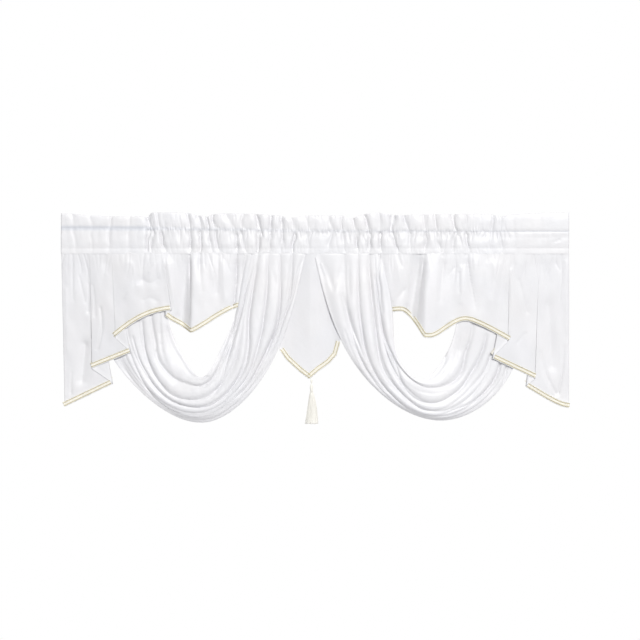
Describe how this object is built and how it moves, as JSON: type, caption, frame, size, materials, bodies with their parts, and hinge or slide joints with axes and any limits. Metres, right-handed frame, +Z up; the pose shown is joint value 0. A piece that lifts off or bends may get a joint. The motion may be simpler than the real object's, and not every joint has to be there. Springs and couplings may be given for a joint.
{
  "type": "short curtain",
  "caption": "Short swag valance of white satin: gathered rod pocket heading, folded side tails, draped swags and a pointed middle panel, edged with braid and hung with a tassel.",
  "frame": {"origin": "middle of the ruffle's top edge, in the plane of the rod", "axes": "+X to the right along the heading as seen from the room, -Y out toward the room, +Z up"},
  "size_m": [1.4001, 0.0559, 0.585],
  "materials": {
    "satin": "white polyester satin with a soft lustre, slightly sheer",
    "braid": "cream gimp braid with two lines of dull gold thread",
    "tassel_yarn": "ivory rayon yarn with a soft sheen"
  },
  "bodies": {
    "root": {"heading": "satin", "jabot_left": "satin", "jabot_right": "satin", "swag_left": "satin", "swag_right": "satin", "centre_panel": "satin", "braid_left": "braid", "braid_right": "braid", "braid_centre": "braid", "tassel": "tassel_yarn"}
  },
  "joints": []
}
